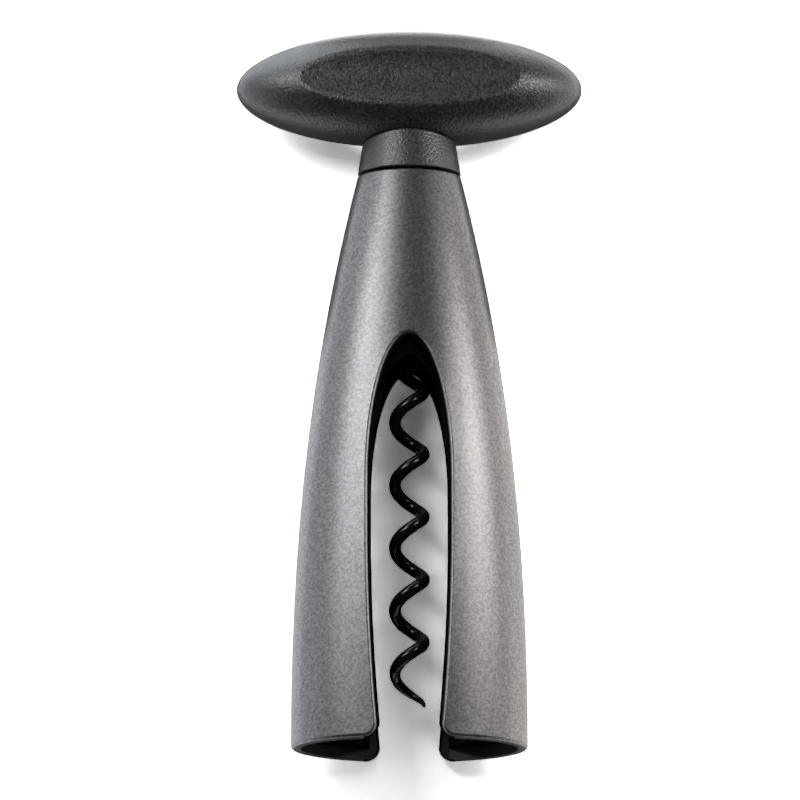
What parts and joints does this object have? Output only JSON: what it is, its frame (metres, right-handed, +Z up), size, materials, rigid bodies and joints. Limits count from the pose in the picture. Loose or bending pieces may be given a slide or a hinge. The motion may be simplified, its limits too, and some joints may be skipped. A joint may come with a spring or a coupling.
{
  "type": "corkscrew",
  "caption": "Self-pulling corkscrew with a tapered oval body, a see-through slot, and a long egg-shaped T-handle that turns and lifts a steel worm.",
  "frame": {"origin": "middle of the base rim, on the plane that the two legs stand on", "axes": "+Z up along the worm's axis, +X along the handle, +Y away from the front of the slot"},
  "size_m": [0.0908, 0.027, 0.1948],
  "materials": {
    "body_paint": "fine-textured metallic charcoal paint on a die-cast shell",
    "liner_plastic": "matt black moulding",
    "handle_skin": "fine-textured dark charcoal, softly matt",
    "worm_coating": "glossy black non-stick coating on steel wire",
    "hub_steel": "black oxide",
    "zinc_steel": "zinc plated",
    "bush_brass": "plain turned brass",
    "washer_plastic": "black low-friction plastic",
    "core_plastic": "glass-filled black plastic"
  },
  "bodies": {
    "body": {"body_shell": "body_paint", "inner_liner": "liner_plastic", "liner_screws": "zinc_steel"},
    "swivel": {"guide_bush": "bush_brass", "bush_clip": "zinc_steel", "thrust_washer": "washer_plastic"},
    "handle": {"drive_shaft": "zinc_steel", "shaft_pin": "zinc_steel", "worm": "worm_coating", "worm_hub": "hub_steel", "hub_pin": "zinc_steel", "neck_collar": "handle_skin", "handle_core": "core_plastic", "handle_front": "handle_skin", "handle_rear": "handle_skin"}
  },
  "joints": [
    {"name": "handle_turn", "type": "hinge", "parent": "body", "child": "swivel", "pos_m": [0, 0, 0.1552], "axis": [0, 0, 1], "continuous": true},
    {"name": "handle_lift", "type": "slide", "parent": "swivel", "child": "handle", "axis": [0, 0, 1], "range_m": [0, 0.031]}
  ]
}
